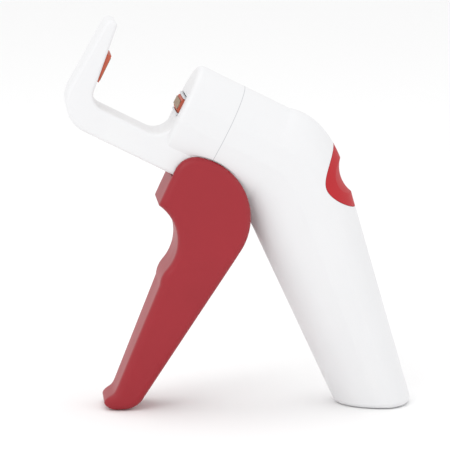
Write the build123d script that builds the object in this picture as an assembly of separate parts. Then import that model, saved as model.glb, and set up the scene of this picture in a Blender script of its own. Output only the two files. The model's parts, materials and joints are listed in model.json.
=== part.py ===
from build123d import *
from math import cos, sin, radians, sqrt
import os

# A pistol-shaped squeeze tool.  +X points from the jaw to the back of the handle, +Z is up and
# the plane Y = 0 is its plane of symmetry.  It stands on the butt of the handle and on the
# lever's toe; the origin is on that surface, under the middle of the whole tool.
# Lengths are in millimetres, angles in degrees.

# Driving dimensions
ram_x, ram_z = -24.0, 124.5      # centre of the nose face, where the ram comes out
head_tilt = 26.5                 # the head slopes down to the back by this angle
head_top = 17.8                  # head surface above the ram axis
head_keel = 26.0                 # head surface below the ram axis
seam_back = 20.5                 # joint of nose frame and shells, behind the nose face
body_half_width = 18.0           # half width of the head and of the handle's top
butt_half_width = 17.6
wall = 2.0                       # wall thickness of the shells
handle_angle = 20.75             # the handle leans this far from upright
butt_round = 2.2

frame_half_width = 14.0          # half width of the C-shaped jaw frame
bar_top, bar_bottom = 14.9, 26.2   # jaw frame bar, below the ram axis
window_half_width, window_half_height = 11.4, 4.4

pivot_back, pivot_down = 27.2, 34.5   # lever pivot, behind the nose face and below the ram axis
pin_radius = 2.5
lever_head_radius = 25.3
lever_head_back, lever_head_down = 22.2, 39.2   # centre of the lever's round head
lever_half_width, toe_half_width = 17.3, 12.0
lever_wall = 2.8
lever_rounding = 3.0
crank_length = 35.9              # pivot to drive pin
crank_rest = 27.5                # the crank leans back by this angle at rest
drive_pin_radius = 2.0
slot_clearance = 0.38             # each side of the drive pin in the ram's slot

cell_radius, cell_length = 7.25, 50.5   # AA cells
cell_offset = 7.4                # each cell's axis from the middle plane
cell_foot = (56.3, 4.5)          # where the plane between the cells' axes leaves the butt
cell_low = 6.0                   # the cells start this far up the handle from there
gap = 0.3                        # between pieces that move past each other

tilt_cos, tilt_sin = cos(radians(head_tilt)), sin(radians(head_tilt))
lean_cos, lean_sin = cos(radians(handle_angle)), sin(radians(handle_angle))

# Planes that the outlines are drawn in.  side: local x, y are X, Z.  head: local x runs back
# along the ram axis and local y up from it.  across: looks along the head, local x is Y.
side = Plane.XZ
head = Plane(origin=(ram_x, 0, ram_z), x_dir=(tilt_cos, 0, -tilt_sin), z_dir=(0, -1, 0))


def head_point(back, up):
    return (ram_x + back * tilt_cos + up * tilt_sin, ram_z - back * tilt_sin + up * tilt_cos)


def handle_plane(distance):
    # looks down the handle along the cells, local x is Y, local y points to the handle's back
    x, z = cell_foot
    origin = (x - distance * lean_sin, 0, z + distance * lean_cos)
    return Plane(origin=origin, x_dir=(0, 1, 0), z_dir=(lean_sin, 0, -lean_cos))


def slab(plane, outline, near, far):
    # a plate with its outline in a side plane, from y = near to y = far
    flat = plane.offset(-near)
    return extrude(flat * outline, amount=-(far - near))


def mirrored(shape):
    return shape + mirror(shape, Plane.XZ)


# The body: egg-shaped sections, wide at the back and narrow at the front, from nose to butt

def handle_back_at(z):
    return 48.2 + (80.4 - z) * 0.2905


def handle_front_at(z):
    return 5.3 + (74.3 - z) * 0.4649


def handle_section(back_z, front_z, half_width):
    back = (handle_back_at(back_z), back_z)
    front = (handle_front_at(front_z), front_z)
    return back, front, half_width, 0.39


def head_section(back):
    back_share = head_top / (head_top + head_keel)
    return head_point(back, head_top), head_point(back, -head_keel), body_half_width, back_share


head_sections = [head_section(12), head_section(41)]
bend_sections = [
    head_section(41),
    ((35.6, 112.4), (3.3, 78.4), body_half_width, 0.40),
    handle_section(94.6, 73.9, body_half_width),
    handle_section(80.5, 62.6, body_half_width),
]
handle_sections = [bend_sections[-1], handle_section(-5.6, -17.5, butt_half_width)]


def quarter(reach, half):
    # quarter ellipse from (reach, 0) to (0, half)
    angles = [radians(90 * step / 6) for step in range(7)]
    points = [(reach * cos(angle), half * sin(angle)) for angle in angles]
    return Spline(*points, tangents=[(0, 1), (-1 if reach > 0 else 1, 0)])


def half_egg(section, inset):
    # near half of one section: two quarter ellipses that meet at the widest point
    back, front, half_width, back_share = section
    back, front = Vector(back[0], 0, back[1]), Vector(front[0], 0, front[1])
    along = (front - back).normalized()
    back, front = back + along * inset, front - along * inset
    depth = (front - back).length
    to_widest = depth * back_share
    plane = Plane(origin=back + along * to_widest, x_dir=-along,
                  z_dir=(-along).cross(Vector(0, -1, 0)))
    rear_arc = plane * quarter(to_widest, half_width - inset)
    front_arc = plane * quarter(to_widest - depth, half_width - inset)
    return Face(Wire([rear_arc, front_arc, Line(front, back)]))


def near_half_body(inset):
    head_part = loft([half_egg(section, inset) for section in head_sections])
    bend_part = loft([half_egg(section, inset) for section in bend_sections])
    handle_part = loft([half_egg(section, inset) for section in handle_sections])
    return head_part + bend_part + handle_part


# Spaces that are cut out of the body

def below(z):
    # everything lower than z
    return Pos(0, 0, z - 50) * Box(400, 100, 100)


def thumb_prism(grow):
    # the recess on the knuckle: its outline seen from the side, right through the body
    edge = [(38.6, 109.0), (34.6, 98.0), (34.0, 91.0), (38.0, 86.4), (46.5, 82.2)]
    edge = [(x - grow, z - grow * (z < 90)) for x, z in edge]
    outside = Polyline(edge[-1], (60, 80), (60, 115), edge[0])
    return slab(side, make_face([Spline(*edge), outside]), -20, 20)


def thumb_scoop():
    # a pulley-shaped cutter whose groove straddles the knuckle
    x, z, radius, crown = 54.7, 98.6, 13.8, 30.0
    at_edge = radius + crown - sqrt(crown ** 2 - 20 ** 2)
    rim = ThreePointArc((at_edge, -20), (radius, 0), (at_edge, 20))
    profile = make_face([rim, Polyline((at_edge, 20), (0, 20), (0, -20), (at_edge, -20))])
    return Pos(x, 0, z) * revolve(profile, Axis.Y)


def keel_slot():
    # where the lever's crank and its spring reach into the head
    ends = [(pivot_back + reach, up) for reach, up in ((-9, -28), (9, -28), (-15.5, -8), (15.5, -8))]
    outline = make_hull([(Pos(back, up) * Circle(5)).edge() for back, up in ends])
    return slab(head, outline, -6.6, 6.6)


def cell_block(clearance, low, high):
    # the space that the two cells take, from low to high along the handle
    outline = Rectangle(2 * (cell_offset + cell_radius + clearance), 2 * (cell_radius + clearance))
    outline = fillet(outline.vertices(), 5.5)
    return extrude(handle_plane(low) * outline, amount=low - high)


def rod(plane, x, y, radius, near, far):
    return slab(plane, Pos(x, y) * Circle(radius), near, far)


def box_in_head(back, up, near, far):
    # back and up are (low, high) pairs in the head's frame
    centre = Pos((back[0] + back[1]) / 2, (up[0] + up[1]) / 2)
    return slab(head, centre * Rectangle(back[1] - back[0], up[1] - up[0]), near, far)


def head_egg(inset, start, end):
    # full egg-shaped block along the head
    near = loft([half_egg(head_section(back), inset) for back in (start, end)])
    return mirrored(near)


# Body shells

shell_screws = [head_point(54.0, 8.0), (27.5, 91.0), (27.0, 43.5), (40.3, 12.5)]
nose_screws = [head_point(24.4, 10.6), head_point(24.4, -12.0)]
pin_x, pin_z = head_point(pivot_back, -pivot_down)
eye_x, eye_z = head_point(lever_head_back, -lever_head_down)
boss_radius = 3.5
floor = 2.4                      # thickness of the butt


def lug(near, far):
    # hangs below the keel and carries the lever's pin
    ends = [(pivot_back, -pivot_down, 6.2), (27, -20, 4), (35, -20, 4)]
    outline = make_hull([(Pos(back, up) * Circle(radius)).edge() for back, up, radius in ends])
    plate = slab(head, outline, near, far)
    return plate - box_in_head((0, seam_back + gap), (-head_keel - 0.6, 0), -20, 20)


screw_seat = 8.0                 # shell screws' heads rest here, this far from the middle plane


def cheek_recess():
    # clears the lever's cheeks on both sides of the body
    disc = rod(side, eye_x, eye_z, lever_head_radius + 0.4, frame_half_width + 0.2, 20)
    return mirrored(disc)


def near_half_shell():
    outer = near_half_body(0) - below(0)
    rim = outer.edges().filter_by_position(Axis.Z, -0.01, 0.01).sort_by(Axis.Y)[:2]
    outer = fillet(rim, butt_round)
    cavity = near_half_body(wall) - below(floor)
    pocket_wall = (outer & thumb_prism(1.6)) - near_half_body(6.6)
    bosses = [rod(side, x, z, boss_radius, -20, 0) for x, z in shell_screws]
    bosses.append(lug(-20, -6.8))
    shell = (outer - cavity) + pocket_wall
    for boss in bosses:
        shell += boss & outer
    shell += lug(-10.5, -6.8)
    shell -= (thumb_prism(0) & outer) - near_half_body(5.0)
    shell -= keel_slot()
    shell -= cheek_recess()
    shell -= cell_block(0.3, -20, cell_low + cell_length)
    shell -= rod(side, pin_x, pin_z, pin_radius + 0.05, -20, 0)
    shell -= box_in_head((-10, seam_back), (-60, 30), -20, 20)
    return shell


def left_shell():
    shell = near_half_shell()
    for x, z in shell_screws:
        shell -= rod(side, x, z, 1.5, -8.3, 0)
    return shell


def right_shell():
    shell = mirror(near_half_shell(), Plane.XZ)
    for x, z in shell_screws:
        shell -= rod(side, x, z, 1.7, -1, 20)
        shell -= rod(side, x, z, 2.9, screw_seat, 20)
    for x, z in nose_screws:
        shell -= rod(side, x, z, 1.3, 5, 20)
    return shell


def thumb_pad():
    near = (near_half_body(0) - near_half_body(5.0)) & thumb_prism(-0.08)
    return mirrored(near) - thumb_scoop()


# Nose frame: the C-shaped jaw and the front of the head in one piece

def jaw_outline():
    points = [(10, -5), (0, -5), (0, -bar_top), (-34.0, -bar_top), (-37.9, 18.8), (-42.3, 18.8),
              (-44.7, -bar_bottom), (seam_back, -bar_bottom), (seam_back, -12)]
    outline = make_face(Polyline(*points, close=True))
    for index, radius in ((6, 13), (3, 6), (2, 8), (5, 2.6), (4, 1.4)):
        back, up = points[index]
        nearest = outline.vertices().sort_by_distance((back, up, 0))[0]
        outline = fillet(nearest, radius)
    return outline


def nose_frame():
    jaw = slab(head, jaw_outline(), -frame_half_width, frame_half_width)
    flats = jaw.faces().filter_by(Axis.Y)
    rims = [edge for face in flats for edge in face.edges() if jaw_rim(edge)]
    jaw = fillet(rims, 1.4)
    barrel = head_egg(0, 0, seam_back)
    barrel = fillet(barrel.faces().sort_by(head_axis)[0].outer_wire().edges(), 2.2)
    collar = head_egg(wall + 0.15, seam_back - 1, seam_back + 5.5) - head_egg(3.8, 0, 40)
    collar -= box_in_head((seam_back, 40), (-40, -14), -13, 13)
    frame = barrel + jaw - head_egg(2.3, 2.6, seam_back + 8)
    frame += collar
    frame -= box_in_head((-1, 4), (-window_half_height, window_half_height),
                         -window_half_width, window_half_width)
    frame -= keel_slot()
    frame -= cheek_recess()
    frame -= box_in_head((-37.8, -30), (-6, 6), -12.2, 12.2)
    for x, z in nose_screws:
        frame -= rod(side, x, z, 1.0, 5, 20)
    return frame


def jaw_rim(edge):
    # the jaw's outer rims, but not where it runs into the head
    local = head.to_local_coords(edge.center())
    return local.X < 18 and not (local.X > 2 and local.Y > -20)


head_axis = Axis(origin=(ram_x, 0, ram_z), direction=(tilt_cos, 0, -tilt_sin))


def anvil_pad():
    return box_in_head((-37.8, -34.4), (-5.9, 5.9), -12.1, 12.1)


def anvil_tape():
    return box_in_head((-34.4, -34.2), (-5.0, 5.0), -12.0, 12.0)


# The ram and the heated shoe at its front

pin_back = pivot_back + crank_length * sin(radians(crank_rest))
pin_down = pivot_down - crank_length * cos(radians(crank_rest))
block_start, block_end = pin_back - 4.2, pin_back + 4.2
block_top, block_bottom = 9.0, -7.8
slot_floor = -pin_down - drive_pin_radius - slot_clearance - 0.3


def ram_slide():
    ram = box_in_head((6.4, block_start + 1), (-4, 4), -10.6, 10.6)
    ram += box_in_head((block_start, block_end), (block_bottom, block_top), -8.8, 8.8)
    ram += box_in_head((block_start - 2, block_end), (0, 3), -12, 12)
    ram -= box_in_head((block_start - 3, 60), (block_bottom - 1, 6.2), -4.6, 4.6)
    slot_half = drive_pin_radius + slot_clearance
    slot_top = crank_length - pivot_down + slot_half + 0.3
    ram -= box_in_head((pin_back - slot_half, pin_back + slot_half), (slot_floor, slot_top), -13, 13)
    ram -= box_in_head((6, 12.5), (-1.3, 1.3), -4.1, 4.1)
    return ram


def ram_contact(sign):
    span = (block_start + 0.4, block_end - 0.4)
    blade = box_in_head(span, (block_bottom - 0.4, slot_floor - 0.2), 8.85, 9.25)
    blade += box_in_head(span, (block_bottom - 0.4, block_bottom - 0.1), 8.85, 10.9)
    return blade if sign > 0 else mirror(blade, Plane.XZ)


def heating_shoe():
    shoe = box_in_head((-0.9, 6.4), (-4, 4), -11, 11)
    shoe -= box_in_head((-2, 3.4), (-3.1, 3.1), -12, 12)
    return shoe + box_in_head((6.4, 12.3), (-1.2, 1.2), -4, 4)


def silicone_bed():
    bed = box_in_head((-1.1, 3.4), (-3.0, 3.0), -10.7, 10.7)
    rims = bed.edges().filter_by(Axis.Y).sort_by(head_axis)[:2]
    return fillet(rims, 1.2)


def heating_ribbon():
    return box_in_head((-1.3, -1.1), (-1.0, 1.0), -10.4, 10.4)


def shoe_tape():
    return box_in_head((-1.5, -1.3), (-1.7, 1.7), -10.6, 10.6)


def ram_rail():
    rail = box_in_head((3.0, 46.5), (-2.3, 5.3), 11.2, 13.9)
    rail -= box_in_head((0, 50), (-gap, 3 + gap), 9, 12.3)
    return rail & head_egg(4.0, 2.9, 47)


# The lever

def lever_outline():
    tangent = (eye_x + lever_head_radius * 0.840, eye_z - lever_head_radius * 0.543)
    top = (-24.6, 104.6)
    crown = (eye_x + 14.0, eye_z + sqrt(lever_head_radius ** 2 - 14.0 ** 2))
    edges = [
        ThreePointArc(top, crown, tangent),
        Line(tangent, (-40.2, 4.2)),
        Spline((-40.2, 4.2), (-43.6, 1.2), (-49.0, 0.0), tangents=[(-0.543, -0.84), (-1, 0)]),
        Spline((-49.0, 0.0), (-54.2, 0.9), (-55.9, 3.1), (-54.4, 5.2), (-50.6, 9.6),
               tangents=[(-1, 0), (0.376, 0.926)]),
        Line((-50.6, 9.6), (-33.4, 52.0)),
        ThreePointArc((-33.4, 52.0), (-32.6, 55.4), (-30.6, 58.6)),
        ThreePointArc((-30.6, 58.6), (-26.2, 72.6), (-33.7, 85.0)),
        Line((-33.7, 85.0), top),
    ]
    outline = make_face(edges)
    nearest = outline.vertices().sort_by_distance((*top, 0))[0]
    return fillet(nearest, 9)


def lever_taper(inset):
    # seen from the front: full width at the head, narrower down to the toe
    half, toe = lever_half_width - inset, toe_half_width - inset
    points = [(-toe, -5), (toe, -5), (half, 62), (half, 120), (-half, 120), (-half, 62)]
    return extrude(Plane.YZ * make_face(Polyline(*points, close=True)), amount=100, both=True)


def lever_hollow():
    # the channel between the cheeks, open to the handle and to the head
    web_top, over_bar = head_point(10.9, -bar_bottom - 0.8), head_point(-5, -bar_bottom - 0.8)
    edges = [
        Line((-50.2, 5.5), (-30.8, 51.0)),
        Line((-30.8, 51.0), (-28.2, 57.5)),
        ThreePointArc((-28.2, 57.5), (-23.3, 72.6), (-29.9, 86.5)),
        Polyline((-29.9, 86.5), web_top, over_bar, (-40, 130), (40, 130), (40, 5.5), (-50.2, 5.5)),
    ]
    return slab(side, make_face(edges), -20, 20) & lever_taper(lever_wall)


def lever_solid():
    # the lever's outside, with every outer rim rounded
    solid = slab(side, lever_outline(), -20, 20) & lever_taper(0)
    rims = [edge for face in solid.faces() if abs(face.normal_at().Y) > 0.9 for edge in face.outer_wire().edges()]
    middles = [edge.center() for edge in rims]
    once = [edge for edge in rims if sum((edge.center() - other).length < 1e-6 for other in middles) == 1]
    return fillet(once, lever_rounding)


def squeeze_lever():
    lever = lever_solid() - lever_hollow()
    lever += mirrored(rod(side, pin_x, pin_z, 6.0, 10.8, 15.5))
    return lever - rod(side, pin_x, pin_z, pin_radius + 0.05, -14.3, 14.3)


def crank():
    tail = (-19.9, 70.5)
    pin = head_point(pin_back, -pin_down)
    upper = make_hull([(Pos(pin_x, pin_z) * Circle(6)).edge(), (Pos(*pin) * Circle(4)).edge()])
    lower = make_hull([(Pos(pin_x, pin_z) * Circle(6)).edge(), (Pos(*tail) * Circle(4)).edge()])
    plate = slab(side, upper + lower, -2.4, 2.8)
    plate -= rod(side, pin_x, pin_z, pin_radius + 0.05, -5, 5)
    return plate - rod(side, *pin, drive_pin_radius, -5, 5)


def drive_pin():
    x, z = head_point(pin_back, -pin_down)
    return rod(side, x, z, drive_pin_radius, -8.6, 8.6)


def pivot_pin():
    return rod(side, pin_x, pin_z, pin_radius, -14.1, 14.1)


def return_spring():
    # torsion spring beside the crank, one leg in the head and one down the lever
    radius, wire, turns_height = 4.3, 0.5, 2.1
    coil_path = Helix(pitch=1.05, height=turns_height, radius=radius)
    section = Plane(origin=coil_path @ 0, z_dir=coil_path % 0) * Circle(wire)
    spring = sweep(section, path=coil_path)
    for end in spring.faces().filter_by(GeomType.PLANE):
        spring += extrude(end, amount=8)
    return Plane(origin=(pin_x, -5.7, pin_z), x_dir=(1, 0, 0), z_dir=(0, 1, 0)) * spring


# Battery bay

def cell(sign):
    plane = handle_plane(cell_low)
    body = extrude(plane * Pos(sign * cell_offset, 0) * Circle(cell_radius), amount=-(cell_length - 1))
    tip_plane = handle_plane(cell_low + cell_length - 1)
    return body + extrude(tip_plane * Pos(sign * cell_offset, 0) * Circle(2.75), amount=-1)


def cell_plate(sign):
    # brass contact at the cell's upper end, with its strip running up to the head
    top = cell_low + cell_length
    plate = extrude(handle_plane(top + 0.1) * Pos(sign * cell_offset, 0) * Rectangle(9, 9), amount=-0.5)
    return plate


def cell_ceiling():
    top = cell_low + cell_length + 0.6
    outline = handle_plane(top) * Rectangle(28.6, 22)
    ceiling = extrude(outline, amount=-1.6)
    return ceiling & mirrored(near_half_body(wall + 0.3))


def contact_strip(sign):
    # brass strip from the cell plate up to the finger that meets the ram's blade
    corners = [head_point(6, -8.7), head_point(16, -8.7), head_point(21, -13.3), head_point(44.0, -13.3),
               (24.5, 71.0), (29.5, 65.0)]
    path = [Vector(x, z) for x, z in corners]
    line = FilletPolyline(*path, radius=1.5)
    band = slab(side, offset_band(line), 8.9, 10.9)
    return band if sign > 0 else mirror(band, Plane.XZ)


def offset_band(line):
    return make_face(offset(line, 0.2, side=Side.BOTH).edges())


def battery_lid():
    lid = cell_block(0.05, -12, 2.0) - below(0.3)
    grip = Pos(56.0, 0, 0) * Rot(90, 0, 0) * Cylinder(1.6, 14)
    return lid - grip


def lid_contact():
    # bridge between the two cells with a spring under each
    plate = extrude(handle_plane(2.0) * Rectangle(24, 9), amount=-0.4)
    for sign in (-1, 1):
        spring_path = Helix(pitch=1.1, height=3.2, radius=2.8)
        section = Plane(origin=spring_path @ 0, z_dir=spring_path % 0) * Circle(0.3)
        coil = sweep(section, path=spring_path)
        base = handle_plane(2.5)
        up = Plane(origin=base.origin, x_dir=base.x_dir, z_dir=-base.z_dir)
        plate += up * Pos(sign * cell_offset, 0, 0) * coil
    return plate


# Screws

def screw(x, z, head_y, length, radius, head_radius):
    body = rod(side, x, z, radius, head_y - length, head_y)
    cap = rod(side, x, z, head_radius, head_y, head_y + 1.8)
    drive = rod(side, x, z, 0.9, head_y + 0.9, head_y + 2)
    return body + cap - drive


def save(node, shape):
    solids = shape.solids()
    whole = solids[0] if len(solids) == 1 else Compound(children=solids)
    whole.label = node
    export_step(whole, "parts/" + node + ".step")


def main():
    os.makedirs("parts", exist_ok=True)
    save("left_shell", left_shell())
    save("right_shell", right_shell())
    save("nose_frame", nose_frame())
    save("thumb_pad", thumb_pad())
    save("anvil_pad", anvil_pad())
    save("anvil_tape", anvil_tape())
    save("ram_slide", ram_slide())
    save("heating_shoe", heating_shoe())
    save("silicone_bed", silicone_bed())
    save("heating_ribbon", heating_ribbon())
    save("shoe_tape", shoe_tape())
    save("squeeze_lever", squeeze_lever())
    save("crank", crank())
    save("drive_pin", drive_pin())
    save("pivot_pin", pivot_pin())
    save("return_spring", return_spring())
    save("cell_ceiling", cell_ceiling())
    save("battery_lid", battery_lid())
    save("lid_contact", lid_contact())
    for name, sign in (("left", -1), ("right", 1)):
        rail = ram_rail() if sign > 0 else mirror(ram_rail(), Plane.XZ)
        save(name + "_ram_rail", rail)
        save(name + "_ram_contact", ram_contact(sign))
        save(name + "_cell", cell(sign))
        save(name + "_cell_plate", cell_plate(sign))
        save(name + "_contact_strip", contact_strip(sign))
    shell_screw_set = [screw(x, z, screw_seat, 16, 1.48, 2.7) for x, z in shell_screws]
    save("shell_screws", Compound(children=shell_screw_set))
    seats = (12.8, 14.4)
    nose_screw_set = [screw(x, z, seat, 3.0, 0.98, 1.25) for (x, z), seat in zip(nose_screws, seats)]
    save("nose_screws", Compound(children=nose_screw_set))


main()
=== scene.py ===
import json
import math

import bpy
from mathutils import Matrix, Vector


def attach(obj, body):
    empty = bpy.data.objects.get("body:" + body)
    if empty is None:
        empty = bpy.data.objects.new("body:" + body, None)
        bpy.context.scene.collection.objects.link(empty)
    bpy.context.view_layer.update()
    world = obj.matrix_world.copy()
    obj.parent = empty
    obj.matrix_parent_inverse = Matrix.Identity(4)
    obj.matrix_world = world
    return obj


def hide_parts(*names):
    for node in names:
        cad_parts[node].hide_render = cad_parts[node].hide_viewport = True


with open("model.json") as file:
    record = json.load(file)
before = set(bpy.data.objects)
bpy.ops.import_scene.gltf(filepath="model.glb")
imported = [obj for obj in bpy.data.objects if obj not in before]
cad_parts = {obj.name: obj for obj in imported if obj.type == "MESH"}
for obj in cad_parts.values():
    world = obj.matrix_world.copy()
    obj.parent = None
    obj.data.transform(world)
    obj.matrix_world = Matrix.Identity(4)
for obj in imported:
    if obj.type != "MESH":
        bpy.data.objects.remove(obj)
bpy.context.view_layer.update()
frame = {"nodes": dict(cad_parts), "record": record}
nodes = frame["nodes"]


# shader maths: a socket that can be added, scaled and compared

class Socket:
    def __init__(self, graph, output):
        self.graph = graph
        self.output = output

    def __add__(self, other):
        return self.graph.maths("ADD", self, other)

    def __sub__(self, other):
        return self.graph.maths("SUBTRACT", self, other)

    def __mul__(self, other):
        return self.graph.maths("MULTIPLY", self, other)

    def __gt__(self, other):
        return self.graph.maths("GREATER_THAN", self, other)


class Graph:
    def __init__(self, name):
        self.material = bpy.data.materials.new(name)
        self.material.use_nodes = True
        self.tree = self.material.node_tree
        self.tree.nodes.clear()

    def feed(self, socket, value):
        if isinstance(value, Socket):
            self.tree.links.new(value.output, socket)
        elif value is not None:
            socket.default_value = value

    def node(self, kind, settings=None, inputs=None, output=0):
        made = self.tree.nodes.new(kind)
        for key, value in (settings or {}).items():
            setattr(made, key, value)
        for key, value in (inputs or {}).items():
            self.feed(made.inputs[key], value)
        return Socket(self, made.outputs[output]) if len(made.outputs) else made

    def maths(self, operation, first, second=None):
        return self.node("ShaderNodeMath", {"operation": operation}, {0: first, 1: second})

    def clamped(self, value, low, high):
        return self.node("ShaderNodeClamp", None, {"Value": value, "Min": low, "Max": high})

    def smooth(self, value, low, high):
        settings = {"interpolation_type": "SMOOTHSTEP"}
        return self.node("ShaderNodeMapRange", settings, {"Value": value, "From Min": low, "From Max": high})

    def mixed(self, factor, first, second):
        return self.node("ShaderNodeMix", {"data_type": "RGBA"}, {0: factor, 6: first, 7: second}, 2)

    def place(self, stretch=(1, 1, 1), turn=(0, 0, 0)):
        coords = self.node("ShaderNodeTexCoord", None, None, 3)
        return self.node("ShaderNodeMapping", None, {"Vector": coords, "Scale": stretch, "Rotation": turn})

    def noise(self, where, scale, detail=3.0, roughness=0.5):
        inputs = {"Vector": where, "Scale": scale, "Detail": detail, "Roughness": roughness}
        return self.node("ShaderNodeTexNoise", None, inputs)


def colour(rgb):
    return (*rgb, 1.0)


# joint lines of the body: round the head behind the nose, and along the middle behind that

seamLook = {"tilt": 26.5, "headX": -0.0240, "headZ": 0.1245, "seamBack": 0.0205, "width": 0.00016,
            "dirt": (0.42, 0.43, 0.45)}


def seamLines(g):
    spot = g.node("ShaderNodeSeparateXYZ", None, {"Vector": g.place()})
    x, y, z = (Socket(g, spot.output.node.outputs[axis]) for axis in range(3))
    tilt = math.radians(seamLook["tilt"])
    back = (x - seamLook["headX"]) * math.cos(tilt) - (z - seamLook["headZ"]) * math.sin(tilt)
    behind = back - seamLook["seamBack"]
    ring = g.smooth(g.maths("ABSOLUTE", behind), seamLook["width"], seamLook["width"] * 0.5)
    middle = g.smooth(g.maths("ABSOLUTE", y), seamLook["width"] * 0.8, seamLook["width"] * 0.4)
    return g.clamped(ring + middle * (behind > 0.0), 0.0, 1.0)


def finish(name, look):
    # one finish: mottled colour, rubbed and scratched areas, surface grain or weave
    g = Graph(name)
    where = g.place()
    brushed = g.place(look["stretch"])
    broad = g.noise(where, look["mottleScale"], 4.0, 0.55)
    rubbed = g.smooth(g.noise(where, look["mottleScale"] * 0.37, 5.0, 0.62), 0.52, 0.74)
    grain = g.noise(brushed, look["grainScale"], 3.0, 0.6)
    threads = g.noise(g.place(scratchStretch, scratchTurn), look["scratchScale"], 2.0, 0.5)
    scratches = g.smooth(threads, 0.70, 0.74) * look["scratches"]
    pattern = grain - scratches * 0.5
    if look["weave"]:
        across = g.node("ShaderNodeTexWave", {"bands_direction": "Y"},
                        {"Vector": brushed, "Scale": look["weave"], "Distortion": 0.4})
        along = g.node("ShaderNodeTexWave", {"bands_direction": "Z"},
                       {"Vector": brushed, "Scale": look["weave"], "Distortion": 0.4}, 1)
        pattern = pattern + across * along
    shade = g.mixed(g.clamped(broad * look["mottle"], 0.0, 1.0), colour(look["base"]), colour(look["deep"]))
    shade = g.mixed(g.clamped(rubbed * look["wear"] + scratches * 0.3, 0.0, 1.0), shade, colour(look["worn"]))
    if look["seams"]:
        shade = g.mixed(seamLines(g) * look["seams"], shade, colour(seamLook["dirt"]))
    rough = g.clamped(broad * 0.12 + rubbed * look["wear"] * -0.2 + scratches * 0.2
                      + (look["roughness"] - 0.06), 0.03, 1.0)
    bump = g.node("ShaderNodeBump", None,
                  {"Strength": look["bump"], "Distance": 0.00004, "Height": pattern})
    inputs = {"Base Color": shade, "Roughness": rough, "Normal": bump, "Metallic": look["metallic"],
              "Coat Weight": look["coat"], "Coat Roughness": 0.3, "Specular IOR Level": look["specular"],
              "Subsurface Weight": look["inner"], "Subsurface Radius": (0.002, 0.001, 0.0008)}
    body = g.node("ShaderNodeBsdfPrincipled", None, inputs)
    g.node("ShaderNodeOutputMaterial", None, {"Surface": body})
    return g.material


scratchStretch, scratchTurn = (1, 7, 0.6), (0.5, 0.9, 0.3)
plain = {"base": (0.8, 0.8, 0.8), "deep": (0.7, 0.7, 0.7), "worn": (0.85, 0.85, 0.85), "mottle": 0.5,
         "mottleScale": 40.0, "wear": 0.25, "scratches": 0.3, "scratchScale": 260.0, "grainScale": 2600.0,
         "stretch": (1, 1, 1), "weave": 0.0, "roughness": 0.45,
         "bump": 0.35, "metallic": 0.0, "coat": 0.0, "specular": 0.5, "inner": 0.0, "seams": 0.0}

finishes = {
    "white_shell": {"base": (0.79, 0.79, 0.80), "deep": (0.73, 0.735, 0.745), "worn": (0.82, 0.82, 0.81),
                    "roughness": 0.42, "scratches": 0.15, "bump": 0.22, "wear": 0.3, "seams": 0.8},
    "red_lever": {"base": (0.34, 0.005, 0.015), "deep": (0.26, 0.004, 0.011), "worn": (0.40, 0.010, 0.021),
                  "roughness": 0.46, "mottle": 0.7, "wear": 0.35, "bump": 0.4, "scratches": 0.25},
    "soft_red": {"base": (0.47, 0.004, 0.011), "deep": (0.40, 0.003, 0.009), "worn": (0.52, 0.012, 0.02),
                 "roughness": 0.6, "grainScale": 3600.0, "bump": 0.7, "scratches": 0.1},
    "silicone": {"base": (0.50, 0.10, 0.05), "deep": (0.42, 0.07, 0.035), "worn": (0.56, 0.16, 0.10),
                 "roughness": 0.62, "inner": 0.05, "wear": 0.5},
    "ptfe": {"base": (0.30, 0.19, 0.10), "deep": (0.20, 0.12, 0.06), "worn": (0.13, 0.08, 0.045),
             "roughness": 0.5, "weave": 900.0, "wear": 0.8, "bump": 0.8},
    "grey_nylon": {"base": (0.20, 0.205, 0.21), "deep": (0.15, 0.155, 0.16), "worn": (0.27, 0.27, 0.27),
                   "roughness": 0.5, "wear": 0.5},
    "aluminium": {"base": (0.66, 0.67, 0.69), "deep": (0.55, 0.56, 0.58), "worn": (0.74, 0.74, 0.74),
                  "metallic": 1.0, "roughness": 0.34, "stretch": (1, 0.04, 1), "scratches": 0.5, "wear": 0.6},
    "ribbon_alloy": {"base": (0.42, 0.40, 0.38), "deep": (0.30, 0.26, 0.24), "worn": (0.26, 0.17, 0.13),
                     "metallic": 1.0, "roughness": 0.4, "stretch": (1, 0.03, 1), "wear": 0.8},
    "steel": {"base": (0.56, 0.57, 0.58), "deep": (0.46, 0.47, 0.48), "worn": (0.66, 0.66, 0.66),
              "metallic": 1.0, "roughness": 0.28, "stretch": (1, 1, 0.06), "scratches": 0.5, "wear": 0.5},
    "nickel_strip": {"base": (0.60, 0.58, 0.54), "deep": (0.50, 0.48, 0.44), "worn": (0.68, 0.66, 0.62),
                     "metallic": 1.0, "roughness": 0.3, "stretch": (0.06, 1, 1), "wear": 0.4},
    "brass_strip": {"base": (0.62, 0.44, 0.17), "deep": (0.46, 0.31, 0.10), "worn": (0.34, 0.22, 0.09),
                    "metallic": 1.0, "roughness": 0.32, "stretch": (1, 1, 0.05), "wear": 0.7},
    "cell_sleeve": {"base": (0.025, 0.06, 0.13), "deep": (0.016, 0.04, 0.09), "worn": (0.08, 0.11, 0.17),
                    "roughness": 0.3, "coat": 0.4, "wear": 0.3},
}

materials = {name: finish(name, {**plain, **look}) for name, look in finishes.items()}
slotOf = {entry["node"]: entry["material_slot"] for entry in frame["record"]["subparts"]}
for nodeName, node in nodes.items():
    node.data.materials.clear()
    node.data.materials.append(materials[slotOf[nodeName]])
print("stage: finishes on", len(nodes), "CAD nodes")


# tools for finished pieces

mergeDistance = 0.000002


def pick(obj):
    bpy.ops.object.select_all(action="DESELECT")
    obj.select_set(True)
    bpy.context.view_layer.objects.active = obj


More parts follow.
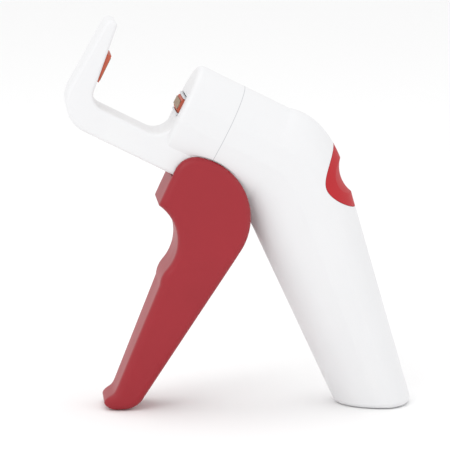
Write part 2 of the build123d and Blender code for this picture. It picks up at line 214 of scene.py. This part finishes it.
def copyOf(nodeName, pieceName):
    source = nodes[nodeName]
    made = source.copy()
    made.data = source.data.copy()
    made.parent = None
    made.name = pieceName
    for key in [key for key in made.keys() if key.startswith("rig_")]:
        del made[key]
    bpy.context.scene.collection.objects.link(made)
    pick(made)
    bpy.ops.mesh.customdata_custom_splitnormals_clear()
    bpy.ops.object.mode_set(mode="EDIT")
    bpy.ops.mesh.select_all(action="SELECT")
    bpy.ops.mesh.remove_doubles(threshold=mergeDistance)
    bpy.ops.object.mode_set(mode="OBJECT")
    return made


def rounded(obj, voxel, softness):
    # a moulded look: even skin, then every edge relaxed
    pick(obj)
    obj.data.remesh_voxel_size = voxel
    bpy.ops.object.voxel_remesh()
    bpy.ops.object.mode_set(mode="EDIT")
    bpy.ops.mesh.select_all(action="SELECT")
    bpy.ops.mesh.vertices_smooth(factor=0.5, repeat=softness)
    bpy.ops.object.mode_set(mode="OBJECT")
    bpy.ops.object.shade_smooth()


# red squeeze lever

leverLook = {"voxel": 0.0005, "softness": 2}

lever = copyOf("squeeze_lever", "squeezeLever")
rounded(lever, leverLook["voxel"], leverLook["softness"])
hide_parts("squeeze_lever")
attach(lever, "lever")
print("stage: lever", len(lever.data.polygons), "faces")


# screws, each head with a cross recess

screwLook = {"shell_screws": {"length": 0.0036, "width": 0.0008, "depth": 0.0012, "turn": 24.0},
             "nose_screws": {"length": 0.0017, "width": 0.0005, "depth": 0.0008, "turn": 61.0}}


def crossCutter(x, top, z, look):
    bars = []
    for quarter in (0, 90):
        bpy.ops.mesh.primitive_cube_add(size=1, location=(x, top, z))
        bar = bpy.context.object
        bar.scale = (look["length"], look["depth"] * 2, look["width"])
        bar.rotation_euler = (0, math.radians(quarter + look["turn"]), 0)
        pick(bar)
        bpy.ops.object.transform_apply(location=True, rotation=True, scale=True)
        bars.append(bar)
    return bars


def crossed(nodeName, pieceName, look):
    pick(copyOf(nodeName, pieceName))
    bpy.ops.object.mode_set(mode="EDIT")
    bpy.ops.mesh.separate(type="LOOSE")
    bpy.ops.object.mode_set(mode="OBJECT")
    parts = list(bpy.context.selected_objects)
    for part in parts:
        spots = [vertex.co for vertex in part.data.vertices]
        x = (min(spot.x for spot in spots) + max(spot.x for spot in spots)) / 2
        z = (min(spot.z for spot in spots) + max(spot.z for spot in spots)) / 2
        for bar in crossCutter(x, max(spot.y for spot in spots), z, look):
            cut = part.modifiers.new("recess", "BOOLEAN")
            cut.object = bar
            pick(part)
            bpy.ops.object.modifier_apply(modifier=cut.name)
            bpy.data.objects.remove(bar)
    pick(parts[0])
    for part in parts[1:]:
        part.select_set(True)
    bpy.ops.object.join()
    made = bpy.context.object
    made.name = pieceName
    bpy.ops.object.shade_smooth_by_angle(angle=math.radians(35))
    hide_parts(nodeName)
    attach(made, "casing")
    return made


crossed("shell_screws", "shellScrews", screwLook["shell_screws"])
crossed("nose_screws", "noseScrews", screwLook["nose_screws"])
print("stage: screws")


# floor, light and camera

studio = {"floorSize": 8.0, "floorGrey": 0.94, "skyStrength": 1.0, "keyPower": 3.2, "fillPower": 0.8,
          "topPower": 1.6, "distance": 1.2, "azimuth": -4.5, "elevation": 9.0, "fieldWidth": 0.184,
          "aim": (-0.0057, 0, 0.0743), "sensor": 36.0}

bpy.ops.mesh.primitive_plane_add(size=studio["floorSize"], location=(0, 0, -0.0002))
floor = bpy.context.object
floor.name = "floor"
floorGraph = Graph("floorPaper")
fibre = floorGraph.noise(floorGraph.place(), 300.0, 4.0)
paper = floorGraph.mixed(fibre * 0.1, colour((studio["floorGrey"],) * 3), colour((0.9, 0.9, 0.9)))
floorGraph.node("ShaderNodeOutputMaterial", None, {
    "Surface": floorGraph.node("ShaderNodeBsdfPrincipled", None,
                               {"Base Color": paper, "Roughness": 0.9, "Specular IOR Level": 0.1})})
floor.data.materials.append(floorGraph.material)

world = bpy.data.worlds.new("studio")
bpy.context.scene.world = world
world.use_nodes = True
world.node_tree.nodes["Background"].inputs["Color"].default_value = (1, 1, 1, 1)
world.node_tree.nodes["Background"].inputs["Strength"].default_value = studio["skyStrength"]


def softLight(name, place, size, power):
    bpy.ops.object.light_add(type="AREA", location=place)
    lamp = bpy.context.object
    lamp.name = name
    lamp.data.size = size
    lamp.data.energy = power
    lamp.rotation_euler = (Vector((0, 0, 0.08)) - Vector(place)).to_track_quat("-Z", "Y").to_euler()


softLight("keyLight", (-0.7, -0.9, 0.9), 0.7, studio["keyPower"])
softLight("fillLight", (0.9, -0.8, 0.5), 0.9, studio["fillPower"])
softLight("topLight", (0.0, 0.3, 1.3), 0.9, studio["topPower"])

turn, lift = math.radians(studio["azimuth"]), math.radians(studio["elevation"])
away = Vector((math.sin(turn) * math.cos(lift), -math.cos(turn) * math.cos(lift), math.sin(lift)))
bpy.ops.object.camera_add()
camera = bpy.context.object
camera.location = Vector(studio["aim"]) + away * studio["distance"]
camera.rotation_euler = (-away).to_track_quat("-Z", "Y").to_euler()
camera.data.sensor_width = studio["sensor"]
camera.data.lens = studio["sensor"] * studio["distance"] / studio["fieldWidth"]
bpy.context.scene.camera = camera
bpy.context.scene.view_settings.view_transform = "Standard"
print("stage: camera and light")
